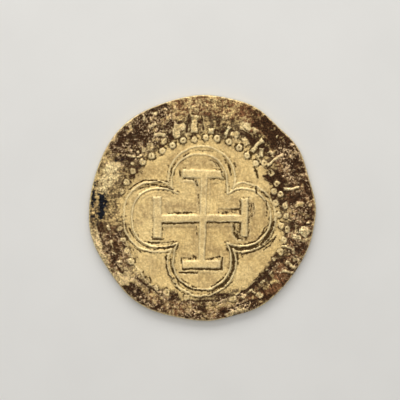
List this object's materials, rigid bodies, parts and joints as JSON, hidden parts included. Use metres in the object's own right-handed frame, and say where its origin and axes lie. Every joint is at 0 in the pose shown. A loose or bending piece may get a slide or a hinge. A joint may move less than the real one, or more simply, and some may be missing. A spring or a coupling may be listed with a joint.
{
  "type": "hammered gold coin",
  "caption": "Hand-struck gold coin on an uneven blank, with a cross in a four-lobed frame, a bead ring and a worn border of strokes.",
  "frame": {"origin": "middle of the coin's outline, in the plane that the underside's relief rests on", "axes": "+Z out of the cross side, +Y to the top of the cross, +X to its right"},
  "size_m": [0.027, 0.027, 0.001],
  "materials": {
    "worn_gold": "worn satin gold, with brown and near-black crust in the border"
  },
  "bodies": {
    "root": {"coin": "worn_gold"}
  },
  "joints": []
}
